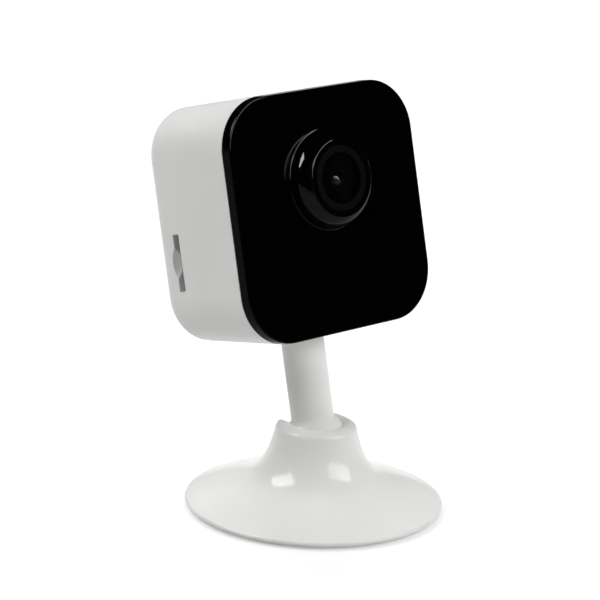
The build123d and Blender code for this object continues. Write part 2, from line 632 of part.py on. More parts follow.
# Front frame: the carrier behind the panel, screwed to the shell, with posts for the sensor board
with BuildPart() as front_frame:
    with BuildSketch(FACE.offset(FRAME_BACK)):
        RectangleRounded(FRAME_W, FRAME_W, HEAD_CORNER - WALL - SLIP)
    extrude(amount=FRAME_T)
    with BuildSketch(FACE.offset(SENSOR_BOARD_FRONT)):
        with Locations(*SENSOR_POSTS):
            Circle(SENSOR_POST_R)
    extrude(amount=SENSOR_POST_L)
    with BuildSketch(FACE.offset(SENSOR_BOARD_FRONT)):
        with Locations(*SENSOR_POSTS):
            Circle(PILOT_R)
    extrude(amount=BOARD_SCREW_L, mode=Mode.SUBTRACT)
    with BuildSketch(LENS.offset(FRAME_BACK)):
        Circle(max(HOLDER_TUBE_R, BARREL_HEAD_R) + 2 * FREE)
        with PolarLocations(LED_RING_R, 6):
            Circle(LED_R + FREE)
    extrude(amount=FRAME_T, mode=Mode.SUBTRACT)
    with BuildSketch(FACE.offset(FRAME_BACK)):
        with Locations((MIC_X, MIC_Y)):
            Circle(BOOT_R + SNUG)
        with Locations(*CASE_SCREWS):
            Circle(SCREW_R + SCREW_PASS)
    extrude(amount=FRAME_T, mode=Mode.SUBTRACT)
    with BuildSketch(FACE.offset(PANEL_BACK)):
        with Locations(*CASE_SCREWS):
            Circle(SCREW_HEAD_R + SCREW_PASS)
    extrude(amount=-SCREW_HEAD_T, mode=Mode.SUBTRACT)
front_frame.part.label = "front_frame"
export_step(front_frame.part, "parts/front_frame.step")

# Lens hood: the glossy boss round the lens, held by a flange behind the panel
with BuildPart() as lens_hood:
    with BuildSketch(LENS_SIDE):
        with BuildLine():
            Polyline(
                (BARREL_HEAD_R + FREE, PANEL_BACK),
                (HOOD_R + HOOD_FLANGE, PANEL_BACK),
                (HOOD_R + HOOD_FLANGE, PANEL_BACK + FLANGE_T),
                (HOOD_R, PANEL_BACK + FLANGE_T),
                (HOOD_R, PANEL_FRONT + HOOD_FOOT - HOOD_ROUND),
            )
            RadiusArc(
                (HOOD_R, PANEL_FRONT + HOOD_FOOT - HOOD_ROUND),
                (HOOD_R - HOOD_ROUND, PANEL_FRONT + HOOD_FOOT),
                -HOOD_ROUND,
            )
            Line(
                (HOOD_R - HOOD_ROUND, PANEL_FRONT + HOOD_FOOT),
                (HOOD_R - HOOD_FOOT_W, PANEL_FRONT + HOOD_FOOT),
            )
            Spline(
                (HOOD_R - HOOD_FOOT_W, PANEL_FRONT + HOOD_FOOT),
                ((HOOD_R + HOOD_RIM_R + HOOD_SHOULDER) / 2, HOOD_FRONT - HOOD_REACH / 2),
                (HOOD_RIM_R + HOOD_SHOULDER, HOOD_FRONT - HOOD_FALL),
                (HOOD_RIM_R, HOOD_FRONT - HOOD_BEAD),
                tangents=((-0.12, 1.0), (-1.0, 0.55)),
            )
            Line((HOOD_RIM_R, HOOD_FRONT - HOOD_BEAD), (HOOD_RIM_R, HOOD_FRONT - HOOD_ROUND))
            RadiusArc(
                (HOOD_RIM_R, HOOD_FRONT - HOOD_ROUND),
                (HOOD_RIM_R - HOOD_ROUND, HOOD_FRONT),
                -HOOD_ROUND,
            )
            Polyline(
                (HOOD_RIM_R - HOOD_ROUND, HOOD_FRONT),
                (RING_OUT_R, HOOD_FRONT),
                (RING_OUT_R, GLASS_BACK),
                (BARREL_HEAD_R + FREE, GLASS_BACK),
                (BARREL_HEAD_R + FREE, PANEL_BACK),
            )
        make_face()
    revolve(axis=LENS_AXIS)
lens_hood.part.label = "lens_hood"
export_step(lens_hood.part, "parts/lens_hood.step")

# Cover glass and the matt ring that holds it in the hood
with BuildPart() as cover_glass:
    with BuildSketch(LENS.offset(GLASS_BACK)):
        Circle(RING_OUT_R - RUN)
    extrude(amount=GLASS_T)
cover_glass.part.label = "cover_glass"
export_step(cover_glass.part, "parts/cover_glass.step")

with BuildPart() as lens_ring:
    with BuildSketch(LENS.offset(GLASS_FRONT)):
        Circle(RING_OUT_R - RUN)
        Circle(RING_IN_R, mode=Mode.SUBTRACT)
    extrude(amount=RING_T)
    chamfer(lens_ring.edges().group_by(FACE_AXIS)[-1].sort_by(SortBy.LENGTH)[0], 0.2)
lens_ring.part.label = "lens_ring"
export_step(lens_ring.part, "parts/lens_ring.step")

# Lens barrel, screwed into the holder to focus, with a front and a rear lens
with BuildPart() as lens_barrel:
    with BuildSketch(LENS_SIDE):
        with BuildLine():
            Polyline(
                (BARREL_BORE_R, BARREL_BACK),
                (BARREL_R, BARREL_BACK),
                (BARREL_R, BARREL_STEP),
                (BARREL_HEAD_R, BARREL_STEP),
                (BARREL_HEAD_R, BARREL_FRONT - 0.4),
                (BARREL_HEAD_R - 0.4, BARREL_FRONT),
                (PUPIL_R, BARREL_FRONT),
                (PUPIL_R, FRONT_SEAT),
                (PUPIL_R - 0.7, FRONT_SEAT),
                (PUPIL_R - 0.7, FRONT_SEAT - 1.0),
                (BARREL_BORE_R, FRONT_SEAT - 2.9),
                (BARREL_BORE_R, BARREL_BACK),
            )
        make_face()
    revolve(axis=LENS_AXIS)
lens_barrel.part.label = "lens_barrel"
export_step(lens_barrel.part, "parts/lens_barrel.step")

with BuildPart() as front_lens:
    with BuildSketch(LENS_SIDE):
        with BuildLine():
            Polyline((0, FRONT_APEX), (0, FRONT_SEAT), (FRONT_EDGE_R, FRONT_SEAT), (FRONT_EDGE_R, FRONT_EDGE))
            RadiusArc((FRONT_EDGE_R, FRONT_EDGE), (0, FRONT_APEX), -FRONT_LENS_R)
        make_face()
    revolve(axis=LENS_AXIS)
front_lens.part.label = "front_lens"
export_step(front_lens.part, "parts/front_lens.step")

with BuildPart() as rear_lens:
    with BuildSketch(LENS_SIDE):
        with BuildLine():
            Polyline((0, REAR_APEX), (0, REAR_BACK), (REAR_EDGE_R, REAR_BACK), (REAR_EDGE_R, REAR_EDGE))
            RadiusArc((REAR_EDGE_R, REAR_EDGE), (0, REAR_APEX), -REAR_LENS_R)
        make_face()
    revolve(axis=LENS_AXIS)
rear_lens.part.label = "rear_lens"
export_step(rear_lens.part, "parts/rear_lens.step")

# Lens holder: stands on the sensor board, guides the filter carriage and takes the barrel
with BuildPart() as lens_holder:
    with BuildSketch(LENS.offset(SENSOR_BOARD_FRONT)):
        RectangleRounded(HOLDER_W, HOLDER_H, 1.0)
    extrude(amount=HOLDER_T)
    with BuildSketch(LENS.offset(HOLDER_TOP)):
        Circle(HOLDER_TUBE_R)
    extrude(amount=HOLDER_TUBE_L)
    with BuildSketch(LENS.offset(SENSOR_BOARD_FRONT)):
        Rectangle(SENSOR_W + 2 * SENSOR_ROOM, SENSOR_H + 2 * SENSOR_ROOM)
    extrude(amount=FILTER_ROOM_BACK - SENSOR_BOARD_FRONT, mode=Mode.SUBTRACT)
    with BuildSketch(LENS.offset(FILTER_ROOM_BACK)):
        Rectangle(FILTER_W + FILTER_TRAVEL + 2 * FILTER_STOP, FILTER_H + 2 * FREE)
    extrude(amount=FILTER_T + 2 * FILTER_GAP, mode=Mode.SUBTRACT)
    with BuildSketch(LENS.offset(FILTER_ROOM_BACK)):
        Circle(BARREL_BORE_R - FREE)
    extrude(amount=HOLDER_TOP - FILTER_ROOM_BACK + FOCUS_ROOM, mode=Mode.SUBTRACT)
    with BuildSketch(LENS.offset(HOLDER_TOP + FOCUS_ROOM / 2)):
        Circle(BARREL_R + SNUG)
    extrude(amount=HOLDER_TUBE_L, mode=Mode.SUBTRACT)
lens_holder.part.label = "lens_holder"
export_step(lens_holder.part, "parts/lens_holder.step")

# Filter carriage: slides between its day window and its night window, with one glass in each
with BuildPart() as filter_carriage:
    with BuildSketch(LENS.offset(FILTER_BACK)):
        with Locations((FILTER_TRAVEL / 2, 0)):
            Rectangle(FILTER_W, FILTER_H)
        with Locations((0, 0), (FILTER_TRAVEL, 0)):
            Rectangle(FILTER_WINDOW, FILTER_WINDOW, mode=Mode.SUBTRACT)
    extrude(amount=FILTER_T)
filter_carriage.part.label = "filter_carriage"
export_step(filter_carriage.part, "parts/filter_carriage.step")

with BuildPart() as filter_glass:
    with BuildSketch(LENS.offset(FILTER_BACK + (FILTER_T - FILTER_GLASS_T) / 2)):
        with Locations((0, 0), (FILTER_TRAVEL, 0)):
            Rectangle(FILTER_WINDOW - SNUG, FILTER_WINDOW - SNUG)
    extrude(amount=FILTER_GLASS_T)
filter_glass.part.label = "filter_glass"
export_step(filter_glass.part, "parts/filter_glass.step")

# Image sensor and its board
with BuildPart() as image_sensor:
    with BuildSketch(LENS.offset(SENSOR_BOARD_FRONT)):
        Rectangle(SENSOR_W, SENSOR_H)
    extrude(amount=SENSOR_T)
image_sensor.part.label = "image_sensor"
export_step(image_sensor.part, "parts/image_sensor.step")

with BuildPart() as sensor_board:
    with BuildSketch(LENS.offset(SENSOR_BOARD_BACK)):
        RectangleRounded(SENSOR_BOARD_W, SENSOR_BOARD_H, 1.5)
        with Locations((SENSOR_POST_X, 0), (-SENSOR_POST_X, 0)):
            Circle(SCREW_R + SCREW_PASS, mode=Mode.SUBTRACT)
    extrude(amount=SMALL_BOARD_T)
sensor_board.part.label = "sensor_board"
export_step(sensor_board.part, "parts/sensor_board.step")

# Infrared light ring behind the panel: board, lamps and the pin header down to the sensor board
with BuildPart() as led_board:
    with BuildSketch(LENS.offset(LED_BOARD_BACK)):
        Circle(LED_BOARD_R)
        Circle(HOLDER_TUBE_R + 0.8, mode=Mode.SUBTRACT)
    extrude(amount=SMALL_BOARD_T)
led_board.part.label = "led_board"
export_step(led_board.part, "parts/led_board.step")

with BuildPart() as infrared_leds:
    with BuildSketch(LENS.offset(FRAME_BACK)):
        with PolarLocations(LED_RING_R, 6):
            Circle(LED_R)
    extrude(amount=LED_T)
infrared_leds.part.label = "infrared_leds"
export_step(infrared_leds.part, "parts/infrared_leds.step")

with BuildPart() as led_header:
    with BuildSketch(LENS.offset(SENSOR_BOARD_FRONT)):
        with Locations((HOLDER_W / 2 + HEADER_ASIDE + HEADER_W / 2, 0)):
            Rectangle(HEADER_W, HEADER_H)
    extrude(amount=LED_BOARD_BACK - SENSOR_BOARD_FRONT)
led_header.part.label = "led_header"
export_step(led_header.part, "parts/led_header.step")

# Microphone in its soft boot, behind the small hole in the panel
with BuildPart() as microphone:
    with BuildSketch(FACE.offset(MIC_BACK)):
        with Locations((MIC_X, MIC_Y)):
            Circle(MIC_R)
    extrude(amount=MIC_T)
microphone.part.label = "microphone"
export_step(microphone.part, "parts/microphone.step")

with BuildPart() as mic_boot:
    with BuildSketch(MIC):
        with BuildLine():
            Polyline(
                (MIC_R + SNUG, FRAME_BACK),
                (BOOT_R, FRAME_BACK),
                (BOOT_R, PANEL_BACK),
                (MIC_HOLE_R + 0.2, PANEL_BACK),
                (MIC_HOLE_R + 0.2, PANEL_BACK - BOOT_LIP),
                (MIC_R + SNUG, PANEL_BACK - BOOT_LIP),
                (MIC_R + SNUG, FRAME_BACK),
            )
        make_face()
    revolve(axis=MIC_AXIS)
mic_boot.part.label = "mic_boot"
export_step(mic_boot.part, "parts/mic_boot.step")

# Main board with its processor, thermal pad and heat sink
with BuildPart() as main_board:
    with BuildSketch(FACE.offset(MAIN_BOARD_BACK)):
        RectangleRounded(MAIN_BOARD_W, MAIN_BOARD_H, 1.5)
        with Locations(*BOARD_POSTS):
            Circle(SCREW_R + SCREW_PASS, mode=Mode.SUBTRACT)
    extrude(amount=BOARD_T)
main_board.part.label = "main_board"
export_step(main_board.part, "parts/main_board.step")

with BuildPart() as processor:
    with BuildSketch(FACE.offset(MAIN_BOARD_FRONT)):
        with Locations((0, CHIP_Y)):
            Rectangle(CHIP_W, CHIP_W)
    extrude(amount=CHIP_T)
processor.part.label = "processor"
export_step(processor.part, "parts/processor.step")

with BuildPart() as thermal_pad:
    with BuildSketch(FACE.offset(MAIN_BOARD_FRONT + CHIP_T)):
        with Locations((0, CHIP_Y)):
            Rectangle(CHIP_W, CHIP_W)
    extrude(amount=THERMAL_T)
thermal_pad.part.label = "thermal_pad"
export_step(thermal_pad.part, "parts/thermal_pad.step")

with BuildPart() as heat_sink:
    with BuildSketch(FACE.offset(SINK_BACK)):
        with Locations((0, CHIP_Y)):
            Rectangle(SINK_W, SINK_H)
    extrude(amount=SINK_T)
    with BuildSketch(FACE.offset(SINK_BACK + SINK_T)):
        with Locations((0, CHIP_Y)):
            with GridLocations((SINK_W - SINK_FIN) / 6, SINK_H, 7, 1):
                Rectangle(SINK_FIN, SINK_H)
    extrude(amount=SENSOR_BOARD_BACK - SINK_GAP - SINK_BACK - SINK_T)
heat_sink.part.label = "heat_sink"
export_step(heat_sink.part, "parts/heat_sink.step")

# Flat ribbon between the two boards, with a socket at each end
with BuildPart() as ribbon_sockets:
    with BuildSketch(FACE.offset(MAIN_BOARD_FRONT)):
        with Locations((RIBBON_X, RIBBON_Y)):
            Rectangle(RIBBON_SOCKET_W, RIBBON_SOCKET_H)
    extrude(amount=RIBBON_SOCKET_T)
    with BuildSketch(FACE.offset(SENSOR_BOARD_BACK)):
        with Locations((RIBBON_X, RIBBON_Y)):
            Rectangle(RIBBON_SOCKET_W, RIBBON_SOCKET_H)
    extrude(amount=-RIBBON_SOCKET_T)
ribbon_sockets.part.label = "ribbon_sockets"
export_step(ribbon_sockets.part, "parts/ribbon_sockets.step")

with BuildPart() as ribbon_cable:
    with BuildSketch(RIBBON):
        with Locations((RIBBON_OUT + RIBBON_RUN, RIBBON_MID)):
            Circle(RIBBON_BEND + RIBBON_T / 2)
            Circle(RIBBON_BEND - RIBBON_T / 2, mode=Mode.SUBTRACT)
            Rectangle(4 * RIBBON_BEND, 4 * RIBBON_BEND, align=(Align.MAX, Align.CENTER), mode=Mode.SUBTRACT)
        with Locations((RIBBON_OUT, RIBBON_TOP), (RIBBON_OUT, RIBBON_BOTTOM)):
            Rectangle(RIBBON_RUN, RIBBON_T, align=(Align.MIN, Align.CENTER))
    extrude(amount=RIBBON_W / 2, both=True)
ribbon_cable.part.label = "ribbon_cable"
export_step(ribbon_cable.part, "parts/ribbon_cable.step")

# Sockets on the back of the main board: power and memory card
with BuildPart() as usb_socket:
    with BuildSketch(FACE.offset(MAIN_BOARD_BACK)):
        with Locations((USB_X, USB_Y)):
            RectangleRounded(USB_W, USB_H, 0.6)
    extrude(amount=-USB_L)
    with BuildSketch(FACE.offset(MAIN_BOARD_BACK - USB_L)):
        with Locations((USB_X, USB_Y)):
            RectangleRounded(USB_W - 2 * USB_SHEET, USB_H - 2 * USB_SHEET, 0.4)
            Rectangle(USB_TONGUE_W, USB_TONGUE_T, mode=Mode.SUBTRACT)
    extrude(amount=USB_MOUTH, mode=Mode.SUBTRACT)
usb_socket.part.label = "usb_socket"
export_step(usb_socket.part, "parts/usb_socket.step")

with BuildPart() as card_socket:
    with BuildSketch(FACE.offset(MAIN_BOARD_BACK)):
        with Locations((CARD_SOCKET_X, CARD_Y)):
            Rectangle(CARD_SOCKET_W, CARD_SOCKET_L)
    extrude(amount=-CARD_SOCKET_T)
    with BuildSketch(SIDE.offset(SIDE_IN - CARD_SOCKET_W + 2.0)):
        with Locations((MAIN_BOARD_BACK - CARD_SLOT_SET - 0.8, CARD_Y)):
            Rectangle(CARD_T, CARD_W)
    extrude(amount=CARD_SOCKET_W, mode=Mode.SUBTRACT)
card_socket.part.label = "card_socket"
export_step(card_socket.part, "parts/card_socket.step")

# Reset button through the back wall and the switch it presses
with BuildPart() as reset_button:
    with BuildSketch(BUTTON):
        with BuildLine():
            Polyline(
                (0, HEAD_BACK + 0.2),
                (BUTTON_R - 0.3, HEAD_BACK + 0.2),
                (BUTTON_R, HEAD_BACK + 0.5),
                (BUTTON_R, BACK_WALL_IN + RUN),
                (BUTTON_R + BUTTON_FLANGE, BACK_WALL_IN + RUN),
                (BUTTON_R + BUTTON_FLANGE, BACK_WALL_IN + 1.1),
                (BUTTON_R - 0.4, BACK_WALL_IN + 1.1),
                (BUTTON_R - 0.4, BUTTON_TIP),
                (0, BUTTON_TIP),
                (0, HEAD_BACK + 0.2),
            )
        make_face()
    revolve(axis=BUTTON_AXIS)
reset_button.part.label = "reset_button"
export_step(reset_button.part, "parts/reset_button.step")

with BuildPart() as reset_switch:
    with BuildSketch(FACE.offset(MAIN_BOARD_BACK)):
        with Locations((BUTTON_X, BUTTON_Y)):
            Rectangle(SWITCH_W, SWITCH_W)
    extrude(amount=-SWITCH_T)
reset_switch.part.label = "reset_switch"
export_step(reset_switch.part, "parts/reset_switch.step")

# Speaker behind the holes in the back wall, with its gasket and spring contacts
with BuildPart() as speaker:
    with BuildSketch(FACE.offset(SPEAKER_BACK)):
        with Locations((0, SPEAKER_Y)):
            Circle(SPEAKER_R)
    extrude(amount=SPEAKER_T)
    with BuildSketch(FACE.offset(SPEAKER_FRONT)):
        with Locations((0, SPEAKER_Y)):
            Circle(SPEAKER_MAGNET_R)
    extrude(amount=SPEAKER_MAGNET_T)
speaker.part.label = "speaker"
export_step(speaker.part, "parts/speaker.step")

with BuildPart() as speaker_gasket:
    with BuildSketch(FACE.offset(BACK_WALL_IN)):
        with Locations((0, SPEAKER_Y)):
            Circle(SPEAKER_R)
            Circle(SPEAKER_R - GASKET_W, mode=Mode.SUBTRACT)
    extrude(amount=GASKET_T)
speaker_gasket.part.label = "speaker_gasket"
export_step(speaker_gasket.part, "parts/speaker_gasket.step")

with BuildPart() as speaker_contacts:
    with BuildSketch(FACE.offset(SPEAKER_FRONT)):
        with Locations((SPEAKER_R - CONTACT_INSET, SPEAKER_Y), (CONTACT_INSET - SPEAKER_R, SPEAKER_Y)):
            Rectangle(CONTACT_W, CONTACT_H)
    extrude(amount=MAIN_BOARD_BACK - SPEAKER_FRONT)
speaker_contacts.part.label = "speaker_contacts"
export_step(speaker_contacts.part, "parts/speaker_contacts.step")

# Aerial plate stuck to the back wall, with its lead to the main board
with BuildPart() as aerial:
    with BuildSketch(FACE.offset(BACK_WALL_IN)):
        with Locations((AERIAL_X, 0)):
            Rectangle(AERIAL_W, AERIAL_H)
    extrude(amount=AERIAL_T)
aerial.part.label = "aerial"
export_step(aerial.part, "parts/aerial.step")

with BuildPart() as aerial_lead:
    with BuildLine(AERIAL) as lead:
        FilletPolyline(
            (AERIAL_X, BACK_WALL_IN + AERIAL_T),
            (AERIAL_X, BACK_WALL_IN + AERIAL_T + MAIN_POST_L * 0.25),
            (AERIAL_X + LEAD_BOW, BACK_WALL_IN + MAIN_POST_L * 0.52),
            (AERIAL_X, MAIN_BOARD_BACK - MAIN_POST_L * 0.25),
            (AERIAL_X, MAIN_BOARD_BACK),
            radius=1.0,
        )
    with BuildSketch(FACE.offset(BACK_WALL_IN + AERIAL_T)):
        with Locations((AERIAL_X, 0)):
            Circle(LEAD_R)
    sweep(path=lead.line)
aerial_lead.part.label = "aerial_lead"
export_step(aerial_lead.part, "parts/aerial_lead.step")

# Case screws: four, from the front through the frame into the shell, hidden by the panel
with BuildPart() as case_screws:
    with BuildSketch(FACE.offset(PANEL_BACK - SCREW_HEAD_T)):
        with Locations(*CASE_SCREWS):
            Circle(SCREW_HEAD_R)
    extrude(amount=SCREW_HEAD_T)
    with BuildSketch(FACE.offset(PANEL_BACK - SCREW_HEAD_T)):
        with Locations(*CASE_SCREWS):
            Circle(SCREW_R)
    extrude(amount=-CASE_SCREW_L)
case_screws.part.label = "case_screws"
export_step(case_screws.part, "parts/case_screws.step")

# Board screws: three hold the main board to the shell, two the sensor board to the frame
with BuildPart() as board_screws:
    with BuildSketch(FACE.offset(MAIN_BOARD_FRONT)):
        with Locations(*BOARD_POSTS):
            Circle(SCREW_HEAD_R)
    extrude(amount=SCREW_HEAD_T)
    with BuildSketch(FACE.offset(MAIN_BOARD_FRONT)):
        with Locations(*BOARD_POSTS):
            Circle(SCREW_R)
    extrude(amount=-BOARD_SCREW_L)
    with BuildSketch(FACE.offset(SENSOR_BOARD_BACK)):
        with Locations(*SENSOR_POSTS):
            Circle(SCREW_HEAD_R)
    extrude(amount=-SCREW_HEAD_T)
    with BuildSketch(FACE.offset(SENSOR_BOARD_BACK)):
        with Locations(*SENSOR_POSTS):
            Circle(SCREW_R)
    extrude(amount=BOARD_SCREW_L)
board_screws.part.label = "board_screws"
export_step(board_screws.part, "parts/board_screws.step")
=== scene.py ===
# %% [markdown]
# A small indoor security camera
#
# This lesson dresses a finished CAD model of a small camera on a round base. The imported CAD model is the
# frame: every node arrives in metres, already in its place, and nothing in this file moves it. Blender
# adds what CAD leaves out: finishes, fine surface detail, light and a viewpoint.

# %% Load the frame
from math import cos, pi, radians, sin

import bpy
from mathutils import Matrix, Vector


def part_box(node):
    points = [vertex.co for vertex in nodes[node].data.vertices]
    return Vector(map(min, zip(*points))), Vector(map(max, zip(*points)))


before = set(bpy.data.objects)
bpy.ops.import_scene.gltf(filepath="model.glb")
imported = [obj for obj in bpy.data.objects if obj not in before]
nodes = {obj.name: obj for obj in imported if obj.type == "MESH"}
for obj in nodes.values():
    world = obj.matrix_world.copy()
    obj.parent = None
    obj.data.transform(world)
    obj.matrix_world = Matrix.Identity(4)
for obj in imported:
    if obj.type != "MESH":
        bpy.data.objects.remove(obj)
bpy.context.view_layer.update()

MM = 0.001

# %% [markdown]
# The viewpoint
#
# The view is a long-lens product shot: it stands to the left of the lens axis and a little above, and
# leans by two degrees. A camera in Blender looks down its own -Z axis, so its matrix takes the right, up
# and backward directions as columns. Three Euler angles could say the same, but once a roll is involved
# the matrix is easier to follow. The angles, the distance and the focal length were fitted to the
# photograph.

# %% Stand the camera at the photograph's viewpoint
VIEW_AZIMUTH = radians(-42.816)
VIEW_ELEVATION = radians(16.412)
VIEW_ROLL = radians(2.206)
VIEW_DISTANCE = 714.694 * MM
AIM_ASIDE = -5.229 * MM
AIM_HEIGHT = 52.876 * MM
SENSOR_WIDTH = 36.0  # millimetres
FOCAL_LENGTH = 175.606  # millimetres


def from_angles(azimuth, elevation):
    """The direction at this azimuth and elevation, where azimuth 0 is in front of the object."""
    return Vector((sin(azimuth) * cos(elevation), -cos(azimuth) * cos(elevation), sin(elevation)))


backward = from_angles(VIEW_AZIMUTH, VIEW_ELEVATION)
level_right = Vector((cos(VIEW_AZIMUTH), sin(VIEW_AZIMUTH), 0))
level_up = backward.cross(level_right)
view_right = level_right * cos(VIEW_ROLL) + level_up * sin(VIEW_ROLL)
view_up = level_up * cos(VIEW_ROLL) - level_right * sin(VIEW_ROLL)
view_turn = Matrix((view_right, view_up, backward)).transposed().to_4x4()
aim = Vector((0, 0, AIM_HEIGHT)) + level_right * AIM_ASIDE

view_data = bpy.data.cameras.new("product_view")
view_data.sensor_width = SENSOR_WIDTH
view_data.lens = FOCAL_LENGTH
view_camera = bpy.data.objects.new("product_view", view_data)
view_camera.matrix_world = Matrix.Translation(aim + backward * VIEW_DISTANCE) @ view_turn
bpy.context.scene.collection.objects.link(view_camera)
bpy.context.scene.camera = view_camera
bpy.context.scene.view_settings.view_transform = "Standard"
print("camera stands at", [round(x, 3) for x in view_camera.location])

# %% [markdown]
# The white sheet
#
# The object stands on a large white sheet, which catches its shadow and lights the underside of
# everything. A sheet that shows only the light of the lamps would turn grey towards its edges, and more
# lamp light would burn out the object. So the sheet is a plain matt white with a part of its white as a
# glow, which camera, mirror and glass rays see and which lights nothing.

# %% Lay the white sheet
FLOOR_SIDE = 12.0  # metres
half = FLOOR_SIDE / 2
corners = [(-half, -half, 0), (half, -half, 0), (half, half, 0), (-half, half, 0)]
floor_mesh = bpy.data.meshes.new("white_sheet")
floor_mesh.from_pydata(corners, [], [(0, 1, 2, 3)])
floor = bpy.data.objects.new("white_sheet", floor_mesh)
bpy.context.scene.collection.objects.link(floor)
print("sheet", FLOOR_SIDE, "m square")

# %% Colour the sheet and let it glow
FLOOR_WHITE = 0.55
FLOOR_ROUGHNESS = 0.9
FLOOR_LIFT = 0.49  # what camera, mirror and glass rays see on top of the lit sheet


def new_material(name):
    """A new material, and its Principled shader."""
    material = bpy.data.materials.new(name)
    material.use_nodes = True
    return material, material.node_tree.nodes["Principled BSDF"]


def added(tree, first, second):
    """The sum of two sockets."""
    node = tree.nodes.new("ShaderNodeMath")
    node.operation = "ADD"
    tree.links.new(first, node.inputs[0])
    tree.links.new(second, node.inputs[1])
    return node.outputs["Value"]


floor_paper, floor_shader = new_material("white_paper")
floor_shader.inputs["Base Color"].default_value = (FLOOR_WHITE, FLOOR_WHITE, FLOOR_WHITE, 1)
floor_shader.inputs["Roughness"].default_value = FLOOR_ROUGHNESS
floor_shader.inputs["Specular IOR Level"].default_value = 0.0
floor_shader.inputs["Emission Color"].default_value = (1, 1, 1, 1)
tree = floor_paper.node_tree
ray = tree.nodes.new("ShaderNodeLightPath").outputs
seen = added(tree, ray["Is Camera Ray"], ray["Is Glossy Ray"])
seen = added(tree, seen, ray["Is Transmission Ray"])
lift = tree.nodes.new("ShaderNodeMath")
lift.operation = "MULTIPLY"
lift.inputs[1].default_value = FLOOR_LIFT
tree.links.new(seen, lift.inputs[0])
tree.links.new(lift.outputs["Value"], floor_shader.inputs["Emission Strength"])
floor_mesh.materials.append(floor_paper)
print("sheet white", FLOOR_WHITE, "with a glow of", FLOOR_LIFT)

# %% [markdown]
# The dark room and its soft boxes
#
# The black front shows nothing of the room, so the world stays almost black and the light comes from
# soft boxes: one from the left, and one with a bar down its middle from the front right, made as two
# boxes side by side. Three fills, hidden from mirror rays, lift the top, the back and the right side
# without leaving a patch on the gloss. A gloss shows the bright middle of a soft box, so in front of
# each box hangs a glint that only mirror and glass rays see. Black gloss needs more than white plastic
# for an equally bright patch. One strong lamp for both would burn out the patches on the white, so a
# third lamp, the sparkle, is linked to the front panel, the hood and the lens alone.

# %% Where the soft boxes hang
SOFT_BOXES = {
    # name: azimuth, elevation, distance, width, height, watts, lights surfaces, shows in gloss
    "left_box": (-122, 44, 1.1, 0.80, 0.46, 7.0, True, True),
    "right_box_a": (3, 28, 1.1, 0.44, 0.40, 3.6, True, True),
    "right_box_b": (29, 28, 1.1, 0.48, 0.40, 3.7, True, True),
    "left_glint": (-122, 44, 1.07, 0.78, 0.45, 14.0, False, True),
    "right_glint_a": (3, 28, 1.07, 0.43, 0.39, 2.6, False, True),
    "right_glint_b": (29, 28, 1.07, 0.47, 0.39, 4.2, False, True),
    "left_sparkle": (-122, 44, 1.04, 0.76, 0.44, 36.0, False, True),
    "right_sparkle_a": (3, 28, 1.04, 0.42, 0.38, 11.0, False, True),
    "right_sparkle_b": (29, 28, 1.04, 0.46, 0.38, 17.0, False, True),
    "back_fill": (150, 50, 1.3, 1.00, 0.80, 9.6, True, False),
    "right_fill": (80, 30, 1.3, 0.60, 0.50, 2.8, True, False),
    "top_fill": (0, 89, 1.3, 1.20, 1.20, 2.0, True, False),
}
print("lights:", ", ".join(SOFT_BOXES))

# %% Hang the soft boxes
LIGHT_AIM = Vector((0, 0.004, 0.055))  # metres, about the middle of the object
SPARKLING_PIECES = ["front_panel", "lens_hood", "cover_glass", "front_lens"]


def hang_soft_box(name, azimuth, elevation, distance, width, height, watts, lights, shows):
    """A rectangular area light that faces the object, which may be left out of the diffuse or the gloss."""
    lamp = bpy.data.lights.new(name, "AREA")
    lamp.shape = "RECTANGLE"
    lamp.size = width
    lamp.size_y = height
    lamp.energy = watts
    box = bpy.data.objects.new(name, lamp)
    toward = from_angles(radians(azimuth), radians(elevation))
    box.location = LIGHT_AIM + toward * distance
    box.rotation_euler = toward.to_track_quat("Z", "Y").to_euler()
    box.visible_diffuse = lights
    box.visible_glossy = shows
    box.visible_transmission = shows
    bpy.context.scene.collection.objects.link(box)
    return box


sparkling = bpy.data.collections.new("sparkling_pieces")
for name in SPARKLING_PIECES:
    sparkling.objects.link(nodes[name])
for name, values in SOFT_BOXES.items():
    box = hang_soft_box(name, *values)
    if "sparkle" in name:
        box.light_linking.receiver_collection = sparkling

# %% Darken the room
ROOM_GREY = 0.015
world = bpy.data.worlds.new("dark_room")
world.use_nodes = True
room = world.node_tree.nodes["Background"]
room.inputs["Color"].default_value = (ROOM_GREY, ROOM_GREY, ROOM_GREY, 1)
bpy.context.scene.world = world
print("room grey", ROOM_GREY)

# %% [markdown]
# Fields for the finishes
#
# Every surface here is moulded, machined or printed, and seen from close by it is never one flat colour.
# Image textures could bring that variation, but they need unwrapped meshes and a fixed resolution. A
# noise node works in the object's own metres instead, so a grain of 0.1 mm is simply a scale of 10000.
# The small helpers below make such a field and turn it into a colour, a number or a bump.

# %% A noise field
NOISE_DETAIL = 2.0


def grain(tree, scale, stretch=None):
    """A noise field in the object's own metres, which may be stretched into streaks."""
    place = tree.nodes.new("ShaderNodeTexCoord").outputs["Object"]
    if stretch:
        squeeze = tree.nodes.new("ShaderNodeMapping")
        squeeze.inputs["Scale"].default_value = stretch
        tree.links.new(place, squeeze.inputs["Vector"])
        place = squeeze.outputs["Vector"]
    noise = tree.nodes.new("ShaderNodeTexNoise")
    noise.inputs["Scale"].default_value = scale
    noise.inputs["Detail"].default_value = NOISE_DETAIL
    tree.links.new(place, noise.inputs["Vector"])
    return noise.outputs["Fac"]


print("noise with a detail of", NOISE_DETAIL)

# %% Colour, number and bump from a field
NOISE_LOW = 0.3  # most of a noise field lies between these two
NOISE_HIGH = 0.7


